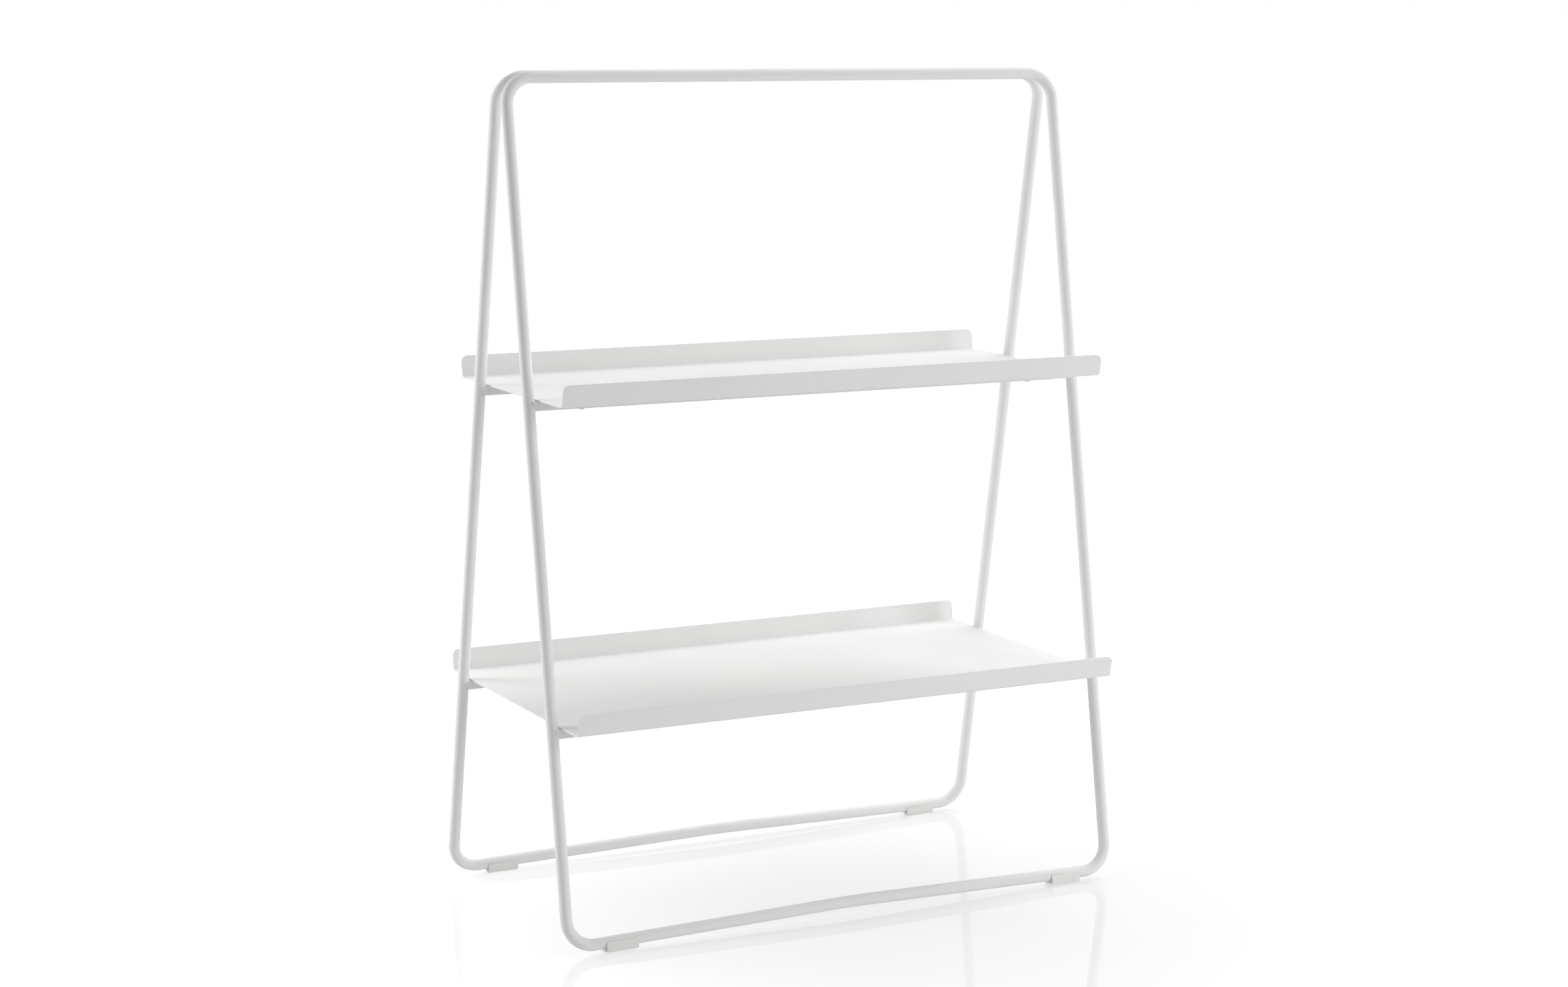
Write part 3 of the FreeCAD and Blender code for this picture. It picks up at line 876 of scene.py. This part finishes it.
@dataclass(kw_only=True)
class WeldBeads(Part):
    """The painted beads that join the ends of two rails to the legs of one loop.

    A bead starts a run away from the leg, sunk under the rail's surface, steps out of it at its
    toe and thickens towards the leg. The rates say over how small a share it does so.
    """

    row: Row
    rails: tuple[Rail, ...]
    run: float = 0.0030
    side_toe: float = 0.3066
    root: float = 0.3126
    lip: float = 0.00005
    sink: float = 0.0001
    toe_step: float = 0.00022
    low_toe_rate: float = 6
    side_toe_rate: float = 14
    drop: float = 0.0006
    flank: float = 0.00078
    flank_power: float = 1.6
    ripple: float = 0.00007
    ripple_pitch: float = 0.0013
    ripple_rate: float = 3
    rings: int = 20
    flat_parts: int = 24
    corner_parts: int = 6

    def title(self) -> str:
        """The name of the beads' object."""
        return f"{self.row.name.lower()}_weld_beads"

    def stands_for(self) -> tuple[str, ...]:
        """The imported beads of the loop."""
        return (f"{self.row.name.lower()}_loop_welds",)

    def shape(self) -> BodyMesh:
        """Lay a bead at each end of each rail.

        Returns:
            The beads.
        """
        mesh = bmesh.new()
        for rail in self.rails:
            self._bead(mesh, rail)
        mirror_over(mesh, "X", VERY_NEAR)
        bmesh.ops.recalc_face_normals(mesh, faces=mesh.faces)
        return mesh

    def _bead(self, mesh: BodyMesh, rail: Rail) -> None:
        """Feed the outline of a rail's right end into the leg, then swell it to a bead.

        Args:
            mesh: The mesh that the bead joins.
            rail: The rail that it goes round.
        """
        half, flat, axis = rail.size / 2, rail.size / 2 - rail.corner, rail.axis()
        start = self.stance.leg_offset - self.stance.tube_radius - self.run
        old = set(mesh.verts)
        first = mesh.verts.new(axis + Vector((start, -half, half - self.lip)))
        feed = Feed(mesh, [first])
        feed.straight(Z_WAY * (rail.corner + self.lip - rail.size), self.flat_parts)
        feed.bend(axis + Vector((start, -flat, -flat)), X_WAY, math.pi / 2, self.corner_parts)
        feed.straight(Y_WAY * (2 * flat), self.flat_parts)
        feed.bend(axis + Vector((start, flat, -flat)), X_WAY, math.pi / 2, self.corner_parts)
        feed.straight(Z_WAY * (rail.size - rail.corner - self.lip), self.flat_parts)
        mesh.edges.new((first, feed.verts[0]))
        bmesh.ops.remove_doubles(mesh, verts=added(mesh, old), dist=VERY_NEAR)
        Feed(mesh, added(mesh, old)).straight(X_WAY * (self.root - start), self.rings)
        bead = added(mesh, old)
        for vert in bead:
            self._swell(vert, axis, flat)
        inside = set(bead)
        rims = [edge for edge in mesh.edges if edge.is_boundary and inside.issuperset(edge.verts)]
        bmesh.ops.holes_fill(mesh, edges=rims, sides=0)

    def _swell(self, vert: BMVert, axis: Vector, flat: float) -> None:
        """Move one vertex of the outline out to the surface of the bead.

        Args:
            vert: The vertex.
            axis: The middle of the rail.
            flat: Half the width of the rail's flats, between its rounded corners.
        """
        stance, side = self.stance, vert.co - axis
        sideways = max(0.0, abs(side.y) - flat)
        downwards = max(0.0, -side.z - flat)
        total = math.hypot(sideways, downwards) or 1.0
        from_leg = side.y + self.row.value * stance.slope * side.z
        inside_leg = max(0.0, stance.tube_radius ** 2 - from_leg ** 2)
        surface = stance.leg_offset - math.sqrt(inside_leg)
        share = held(1 - (surface - vert.co.x) / self.run)
        toe = self.toe_step * held(share * self.low_toe_rate) - self.sink
        fillet = self.drop * (1 - math.sqrt(1 - share ** 2))
        wave = math.sin(math.pi * (side.y + side.z) / self.ripple_pitch) ** 2
        low = max(toe, fillet) + self.ripple * wave * held(share * self.ripple_rate)
        along = (vert.co.x - self.side_toe) / (self.root - self.side_toe)
        toe = self.toe_step * held(along * self.side_toe_rate) - self.sink
        flare = self.flank * max(0.0, along) ** self.flank_power
        flank = max(toe, min(flare + toe, self.flank))
        vert.co.z -= downwards / total * min(low, self.drop)
        vert.co.y += math.copysign(sideways / total * flank, side.y)


@dataclass(kw_only=True)
class Tray(Part):
    """A tray folded from one sheet: flat floor and two flanges that flare outwards."""

    tier: Tier
    under: float
    depth: float
    length: float = 0.614
    thickness: float = 0.0015
    fold_radius: float = 0.003
    fold_parts: int = 12
    flange_height: float = 0.0226
    flange_flare: float = 0.0038
    corner_radius: float = 0.007
    corner_parts: int = 14
    edge_radius: float = 0.00035
    edge_parts: int = 3
    edge_angle: float = 50

    def title(self) -> str:
        """The name of the tray's object."""
        return f"{self.tier.value}_folded_tray"

    def stands_for(self) -> tuple[str, ...]:
        """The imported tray."""
        return (f"{self.tier.value}_tray",)

    def shape(self) -> BodyMesh:
        """Feed a line through the fold, mirror it, and draw it out along the shelf.

        Returns:
            The outer face of the sheet.
        """
        mesh = bmesh.new()
        turn = math.pi / 2 - math.atan2(self.flange_flare, self.flange_height)
        outer = self.fold_radius + self.thickness
        fold_y = self.depth / 2 - outer * math.tan(turn / 2)
        feed = Feed(mesh, [mesh.verts.new(Vector())])
        feed.straight(Y_WAY * fold_y)
        feed.bend(Vector((0, fold_y, outer)), X_WAY, turn, self.fold_parts)
        feed.straight_to(Vector((0, self.depth / 2 + self.flange_flare, self.flange_height)))
        mirror_over(mesh, "Y")
        bmesh.ops.translate(mesh, vec=(-self.length / 2, 0, self.under), verts=mesh.verts)
        Feed(mesh, mesh.verts).straight(X_WAY * self.length)
        top = max(vert.co.z for vert in mesh.verts)
        tips = [vert for vert in mesh.verts if vert.co.z > top - NEAR]
        round_off(mesh, tips, self.corner_radius, self.corner_parts, "VERTICES")
        bmesh.ops.recalc_face_normals(mesh, faces=mesh.faces)
        if self._floor_looks_up(mesh):
            bmesh.ops.reverse_faces(mesh, faces=mesh.faces)
        return mesh

    def _floor_looks_up(self, mesh: BodyMesh) -> bool:
        """Whether the sheet's faces point into the tray."""
        return max(mesh.faces, key=lambda face: face.calc_area()).normal.z > 0

    def refine(self, piece: bpy.types.Object) -> None:
        """Give the sheet its thickness inwards, and break its edges.

        Args:
            piece: The tray.
        """
        wall = piece.modifiers.new("sheet", "SOLIDIFY")
        wall.thickness = self.thickness
        wall.offset = -1
        wall.use_even_offset = True
        wall.use_quality_normals = True
        edges = piece.modifiers.new("edges", "BEVEL")
        edges.width = self.edge_radius
        edges.segments = self.edge_parts
        edges.limit_method = "ANGLE"
        edges.angle_limit = math.radians(self.edge_angle)
        edges.use_clamp_overlap = True
        smooth_by_area(piece)


@dataclass(kw_only=True)
class SaddlePad(Part):
    """A moulded pad that clips round the foot bar: flat sole, sides drawn in to thin lips."""

    row: Row
    end: End
    finish: Finish = field(default_factory=MouldedPlastic)
    length: float = 0.034
    clearance: float = 0.0001
    bore_parts: int = 32
    bore_margin: float = 1.02
    sole_half_width: float = 0.008
    lip_rise: float = 0.0015
    lip_thickness: float = 0.0008
    end_radius: float = 0.0012
    end_parts: int = 5
    edge_radius: float = 0.00036
    edge_parts: int = 3
    edge_angle: float = 35
    cut_width: float = 0.0000001

    @property
    def bore(self) -> float:
        """Radius of the channel that the foot bar lies in."""
        return self.stance.tube_radius + self.clearance

    def title(self) -> str:
        """The name of the pad's object."""
        return f"{self.row.name.lower()}_{self.end.name.lower()}_saddle_pad"

    def stands_for(self) -> tuple[str, ...]:
        """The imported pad."""
        return (f"{self.row.name.lower()}_{self.end.name.lower()}_pad",)

    def shape(self) -> BodyMesh:
        """Outline the section, draw it out and round it, then set it on the bar and the floor.

        Returns:
            The pad.
        """
        stance, mesh, half = self.stance, bmesh.new(), self.length / 2
        lip_angle = math.asin(self.lip_rise / self.bore)
        reach = self.bore * math.cos(lip_angle)
        first = mesh.verts.new(Vector((-half, -reach, self.lip_rise)))
        feed = Feed(mesh, [first])
        feed.bend(Vector((-half, 0, 0)), X_WAY, math.pi + 2 * lip_angle, self.bore_parts)
        feed.straight(Y_WAY * self.lip_thickness)
        feed.straight_to(Vector((-half, self.sole_half_width, -stance.sole_drop)))
        feed.straight(Y_WAY * (-2 * self.sole_half_width))
        feed.straight_to(Vector((-half, -reach - self.lip_thickness, self.lip_rise)))
        mesh.edges.new((feed.verts[0], first))
        bmesh.ops.remove_doubles(mesh, verts=mesh.verts, dist=VERY_NEAR)
        section = bmesh.ops.contextual_create(mesh, geom=mesh.edges[:])["faces"]
        drawn = bmesh.ops.extrude_face_region(mesh, geom=section)["geom"]
        bmesh.ops.translate(mesh, vec=X_WAY * self.length, verts=verts_in(drawn))
        self._round(mesh)
        slope = Matrix.Rotation(stance.bow_angle, 4, "Y")
        seat = Matrix.Translation((stance.leg_offset - stance.pad_inset, 0, stance.pad_rise))
        bmesh.ops.transform(mesh, matrix=stance.front_plane() @ seat @ slope, verts=mesh.verts)
        bmesh.ops.scale(mesh, vec=(self.end.value, -self.row.value, 1), verts=mesh.verts)
        cut = bmesh.ops.bisect_plane(mesh, geom=whole(mesh), dist=self.cut_width,
                                     plane_co=Vector(), plane_no=-Z_WAY, clear_outer=True)
        bmesh.ops.contextual_create(mesh, geom=edges_in(cut["geom_cut"]))
        bmesh.ops.recalc_face_normals(mesh, faces=mesh.faces)
        return mesh

    def _round(self, mesh: BodyMesh) -> None:
        """Round the corners of the pad's ends, then its outer edges.

        Args:
            mesh: The pad before it is placed, its bar along X through zero.
        """
        across = [edge for edge in long_edges(mesh, Y_WAY) if self._outside(edge)]
        round_off(mesh, across, self.end_radius, self.end_parts)
        least = math.radians(self.edge_angle)
        sharp = [edge for edge in mesh.edges
                 if edge.calc_face_angle(0) > least and self._outside(edge)]
        round_off(mesh, sharp, self.edge_radius, self.edge_parts)

    def _outside(self, edge: BMEdge) -> bool:
        """Whether an edge of the unplaced pad stands clear of the bore."""
        clear = self.bore * self.bore_margin
        return all(math.hypot(vert.co.y, vert.co.z) > clear for vert in edge.verts)


@dataclass(kw_only=True)
class ButtonScrews(Part):
    """A group of equal button-head screws with hexagon sockets."""

    name: str
    node: str
    seats: tuple[Matrix, ...]
    shank_length: float
    finish: Finish = field(default_factory=ZincPlate)
    shank_radius: float = 0.002
    tip_chamfer: float = 0.0003
    head_radius: float = 0.0038
    head_height: float = 0.0015
    rim: float = 0.0003
    edge: float = 0.00015
    dome_parts: int = 8
    crown_margin: float = 1.18
    socket_flats: float = 0.0025
    socket_depth: float = 0.0011
    sides: int = 48
    sharp_angle: float = 38

    def title(self) -> str:
        """The name of the screws' object."""
        return self.name

    def stands_for(self) -> tuple[str, ...]:
        """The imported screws."""
        return (self.node,)

    def shape(self) -> BodyMesh:
        """Make one screw at each seat.

        Returns:
            The screws.
        """
        mesh = bmesh.new()
        for seat in self.seats:
            old = set(mesh.verts)
            self._screw(mesh)
            bmesh.ops.transform(mesh, matrix=seat, verts=added(mesh, old))
        bmesh.ops.recalc_face_normals(mesh, faces=mesh.faces)
        return mesh

    def _screw(self, mesh: BodyMesh) -> None:
        """Turn the head and shank about Z, then sink the socket into the crown.

        Args:
            mesh: The mesh that the screw joins, its shank along +Z from zero.
        """
        rise = self.head_height - self.rim
        dome = (self.head_radius ** 2 + rise ** 2) / rise / 2
        socket = self.socket_flats / math.sqrt(3)
        flat = socket * self.crown_margin
        flat_turn, rim_turn = math.asin(flat / dome), math.asin(self.head_radius / dome)
        top = Vector((0, 0, dome - self.head_height))
        old = set(mesh.verts)
        feed = Feed(mesh, [mesh.verts.new(top + Vector((flat, 0, -dome * math.cos(flat_turn))))])
        feed.bend(top, Y_WAY, flat_turn - rim_turn, self.dome_parts)
        feed.straight(Z_WAY * (self.rim - self.edge))
        feed.straight(Vector((-self.edge, 0, self.edge)))
        feed.straight(X_WAY * (self.shank_radius + self.edge - self.head_radius))
        feed.straight(Z_WAY * (self.shank_length - self.tip_chamfer))
        feed.straight(Vector((-self.tip_chamfer, 0, self.tip_chamfer)))
        Feed(mesh, added(mesh, old)).turn_round(self.sides)
        rims = [edge for edge in mesh.edges if edge.is_boundary]
        tip = [edge for edge in rims if edge.verts[0].co.z > 0]
        crown = [edge for edge in rims if edge.verts[0].co.z <= 0]
        bmesh.ops.holes_fill(mesh, edges=tip, sides=0)
        self._sink_socket(mesh, crown, socket)

    def _sink_socket(self, mesh: BodyMesh, crown: list[BMEdge], corner: float) -> None:
        """Close the crown round a hexagon and sink it.

        Args:
            mesh: The mesh.
            crown: The open rim of the crown.
            corner: The radius of the socket's corners.
        """
        place = Matrix.Translation((0, 0, crown[0].verts[0].co.z))
        ring = bmesh.ops.create_circle(mesh, cap_ends=False, segments=self.sides, radius=corner,
                                       matrix=place)["verts"]
        half_side = math.pi / 6
        for vert in ring:
            turn = math.atan2(vert.co.y, vert.co.x) % (2 * half_side) - half_side
            pull = math.cos(half_side) / math.cos(turn)
            vert.co.x *= pull
            vert.co.y *= pull
        walls = Feed(mesh, ring)
        bmesh.ops.bridge_loops(mesh, edges=[*edges_in(walls.end), *crown])
        walls.straight(Z_WAY * self.socket_depth)
        bmesh.ops.holes_fill(mesh, edges=edges_in(walls.end), sides=0)

    def refine(self, piece: bpy.types.Object) -> None:
        """Keep the socket's corners and the seat sharp."""
        piece.data.set_sharp_from_angle(angle=math.radians(self.sharp_angle))
        smooth_by_area(piece)


@dataclass(frozen=True)
class KeptNodes:
    """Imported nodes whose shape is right: they keep it and get a finish."""

    finishes: dict[str, Finish]

    def dress(self, nodes: dict[str, bpy.types.Object]) -> None:
        """Put each finish on its node.

        Args:
            nodes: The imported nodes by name.
        """
        for name, finish in self.finishes.items():
            for place in nodes[name].material_slots:
                place.material = finish.material()
            log.info("%-26s keeps its shape, in %s", name, finish.name)


# Studio


@dataclass(frozen=True)
class SoftLamp:
    """A soft square lamp that faces a place on the shelf.

    The azimuth is 0 in front of the shelf and grows towards its right, in degrees.
    """

    name: str
    azimuth: float
    elevation: float
    level: float
    distance: float = 3.0
    size: float = 1.5
    target: Place = (0, 0, 0.45)

    def build(self) -> None:
        """Hang the lamp, with the power that gives its level at the target."""
        data = bpy.data.lights.new(self.name, "AREA")
        data.shape = "SQUARE"
        data.size = self.size
        data.energy = self.level * math.pi ** 2 * self.distance ** 2
        turn, lift = math.radians(self.azimuth), math.radians(self.elevation)
        across = Vector((math.sin(turn), -math.cos(turn), 0))
        way = across * math.cos(lift) + Z_WAY * math.sin(lift)
        lamp = show(self.name, data)
        lamp.location = Vector(self.target) + way * self.distance
        lamp.rotation_euler = way.to_track_quat("Z", "Y").to_euler()
        lamp.visible_camera = False
        lamp.visible_glossy = False


@dataclass(frozen=True)
class Studio:
    """White studio: a glossy pale floor, white surroundings and soft lamps."""

    floor_size: float = 12.0
    floor_colour: Colour = (0.36, 0.36, 0.36)
    floor_glow: float = 0.59
    floor_bounce: float = 0.38
    floor_roughness: float = 0.03
    floor_refraction: float = 1.45
    shade_shift: Place = (-0.12, 0.12, 0)
    shade_stretch: Place = (1, 0.79, 1)
    shade_start: float = 0.16
    shade_end: float = 0.91
    bounce_start: float = 0.9
    bounce_end: float = 1.9
    surround_level: float = 0.28
    lamps: tuple[SoftLamp, ...] = (
        SoftLamp("front_lamp", 0, 30, 0.06),
        SoftLamp("right_front_lamp", 45, 12, 0.42),
        SoftLamp("top_lamp", 0, 88, 0.10),
        SoftLamp("right_rear_lamp", 100, 45, 0.30),
        SoftLamp("rear_lamp", 135, 45, 0.38),
        SoftLamp("left_rear_lamp", -120, 12, 0.39),
        SoftLamp("near_left_lamp", -128, 15, 0.32, distance=1.2, size=0.8, target=(-0.3, 0, 0.45)),
    )

    def build(self) -> None:
        """Build the floor, the surroundings and the lamps."""
        self._floor()
        self._surround()
        for lamp in self.lamps:
            lamp.build()

    @staticmethod
    def _seen(graph: Graph) -> Signal:
        """1 for what the camera sees, directly or in gloss or glass."""
        path = graph.make("ShaderNodeLightPath")
        mirrored = path["Is Glossy Ray"]
        return path["Is Camera Ray"].either(mirrored).either(path["Is Transmission Ray"])

    def _floor(self) -> None:
        """Lay the floor, which takes the shelf's shadow and a faint reflection."""
        mesh = bmesh.new()
        bmesh.ops.create_grid(mesh, x_segments=2, y_segments=2, size=self.floor_size / 2)
        floor = show_mesh("studio_floor", mesh)
        floor.data.materials.append(self._floor_material())

    def _floor_material(self) -> bpy.types.Material:
        """Make a matt floor with a white glow, paler away from the shelf, under a clear gloss.

        Returns:
            The material.
        """
        made = bpy.data.materials.new("studio_floor_white")
        graph = Graph(made)
        where = graph.make("ShaderNodeTexCoord")["Object"]
        away = graph.vector("LENGTH", where)["Value"]
        bounced = away.ramp(self.bounce_end, self.bounce_start) * self.floor_bounce
        shade = graph.vector("MULTIPLY_ADD", where, self.shade_stretch, self.shade_shift)["Vector"]
        pale = graph.vector("LENGTH", shade)["Value"].ramp(self.shade_start, self.shade_end)
        shown = self.floor_glow + pale * (1 - self.floor_glow)
        glow = bounced + self._seen(graph) * (shown - bounced)
        matt = graph.make("ShaderNodeBsdfDiffuse", None, {"Color": (*self.floor_colour, 1)})["BSDF"]
        light = graph.make("ShaderNodeEmission", None, {"Color": WHITE, "Strength": glow})
        base = graph.make("ShaderNodeAddShader", None, {0: matt, 1: light["Emission"]})["Shader"]
        gloss = graph.make("ShaderNodeBsdfGlossy", None,
                           {"Color": WHITE, "Roughness": self.floor_roughness})["BSDF"]
        sheen = graph.make("ShaderNodeFresnel", None, {"IOR": self.floor_refraction})["Fac"]
        both = graph.make("ShaderNodeMixShader", None, {0: sheen, 1: base, 2: gloss})["Shader"]
        graph.make("ShaderNodeOutputMaterial", None, {"Surface": both})
        return made

    def _surround(self) -> None:
        """Make the surroundings white to the eye, and a plain soft light."""
        world = bpy.data.worlds.new("white_studio")
        bpy.context.scene.world = world
        graph = Graph(world)
        level = self.surround_level + self._seen(graph) * (1 - self.surround_level)
        sky = graph.make("ShaderNodeBackground", None, {"Color": WHITE, "Strength": level})
        graph.make("ShaderNodeOutputWorld", None, {"Surface": sky["Background"]})


@dataclass(frozen=True)
class Viewpoint:
    """The camera of the photograph, its turn in degrees and its lens and film in millimetres."""

    place: Place = (-1.45193, -2.77935, 0.93572)
    turn: Place = (80.5702, -0.3944, -27.5404)
    focal_length: float = 69.566
    film_width: float = 36.0
    sight: float = 60

    def build(self) -> None:
        """Set the camera up."""
        data = bpy.data.cameras.new("photograph_camera")
        data.lens = self.focal_length
        data.sensor_width = self.film_width
        data.clip_end = self.sight
        camera = show("photograph_camera", data)
        camera.location = self.place
        camera.rotation_euler = [math.radians(angle) for angle in self.turn]
        bpy.context.scene.camera = camera


# The shelf


@dataclass(frozen=True)
class Shelf:
    """The whole shelf: its sub-assemblies in the order in which it is put together."""

    stance: Stance = Stance()
    upper_tray_under: float = 0.5383
    lower_tray_under: float = 0.2215
    upper_tray_depth: float = 0.259
    lower_tray_depth: float = 0.327
    fixing_offset: float = 0.258
    fixing_length: float = 0.008
    spacer_offset: float = 0.220
    spacer_screw_length: float = 0.020
    washer_crown: float = 0.0012
    frame_coat: PowderCoat = PowderCoat(name="frame_powder_coat")
    bead_coat: PowderCoat = PowderCoat(name="bead_powder_coat", seed=4.0, ripple_size=0.0012,
                                       roughness=0.60)
    upper_coat: PowderCoat = PowderCoat(name="upper_tray_powder_coat", slot="tray_paint", seed=9.0)
    # The lower tray's coat has a small dark spot near the top of its front flange's right end.
    lower_coat: PowderCoat = PowderCoat(name="lower_tray_powder_coat", slot="tray_paint", seed=14.0,
                                        dark_spot=DarkSpot((0.3068, -0.1668, 0.2395)))

    def tray_under(self, tier: Tier) -> float:
        """Height of a tray's underside, which is the top of its rails."""
        return self.upper_tray_under if tier is Tier.UPPER else self.lower_tray_under

    def rail(self, row: Row, tier: Tier) -> Rail:
        """The rail of one loop under one tray."""
        return Rail(row=row, tier=tier, top=self.tray_under(tier), stance=self.stance,
                    finish=self.frame_coat)

    def frame_parts(self) -> list[Part]:
        """List the loops, rails and weld beads.

        Returns:
            The parts of the two loops.
        """
        parts: list[Part] = []
        for row in Row:
            rails = tuple(self.rail(row, tier) for tier in Tier)
            parts += [TubeLoop(row=row, stance=self.stance, finish=self.frame_coat), *rails,
                      WeldBeads(row=row, rails=rails, stance=self.stance, finish=self.bead_coat)]
        return parts

    def trays(self) -> list[Part]:
        """List the two trays.

        Returns:
            The trays.
        """
        upper = Tray(tier=Tier.UPPER, under=self.upper_tray_under, depth=self.upper_tray_depth,
                     stance=self.stance, finish=self.upper_coat)
        lower = Tray(tier=Tier.LOWER, under=self.lower_tray_under, depth=self.lower_tray_depth,
                     stance=self.stance, finish=self.lower_coat)
        return [upper, lower]

    def screws(self) -> list[Part]:
        """List the screws under the trays and behind the top bars.

        Returns:
            The three groups of screws.
        """
        groups: list[Part] = []
        for tier in Tier:
            rails = [self.rail(row, tier) for row in Row]
            seats = tuple(Matrix.Translation((end.value * self.fixing_offset, rail.axis().y,
                                              rail.top - rail.size))
                          for end in End for rail in rails)
            groups.append(ButtonScrews(name=f"{tier.value}_tray_button_screws", seats=seats,
                                       node=f"{tier.value}_tray_screws",
                                       shank_length=self.fixing_length))
        back = self.stance.top_offset + self.stance.tube_radius + self.washer_crown
        height = self.stance.height - self.stance.tube_radius
        seats = tuple(Matrix.Translation((end.value * self.spacer_offset, back, height))
                      @ Matrix.Rotation(math.pi / 2, 4, "X") for end in End)
        groups.append(ButtonScrews(name="top_bar_button_screws", node="top_screws", seats=seats,
                                   shank_length=self.spacer_screw_length))
        return groups

    def pads(self) -> list[Part]:
        """The four pads under the foot bars."""
        return [SaddlePad(row=row, end=end, stance=self.stance) for row in Row for end in End]

    def kept(self) -> KeptNodes:
        """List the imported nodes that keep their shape.

        Returns:
            The nodes with their finishes.
        """
        return KeptNodes({"upper_tray_studs": self.upper_coat, "lower_tray_studs": self.upper_coat,
                          "top_spacer_left": self.frame_coat, "top_spacer_right": self.frame_coat,
                          "top_saddle_washers": ZincPlate()})

    def build(self, nodes: dict[str, bpy.types.Object]) -> None:
        """Build every piece in order.

        Args:
            nodes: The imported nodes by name.
        """
        for part in [*self.frame_parts(), *self.trays(), *self.screws(), *self.pads()]:
            part.build()
        self.kept().dress(nodes)


def main() -> None:
    """Load the frame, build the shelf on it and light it."""
    logging.basicConfig(level=logging.INFO, format="%(message)s")
    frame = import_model()
    bpy.context.scene.view_settings.view_transform = "Standard"
    Viewpoint().build()
    Shelf().build(frame["nodes"])
    Studio().build()
    bpy.context.view_layer.update()


if __name__ == "__main__":
    main()
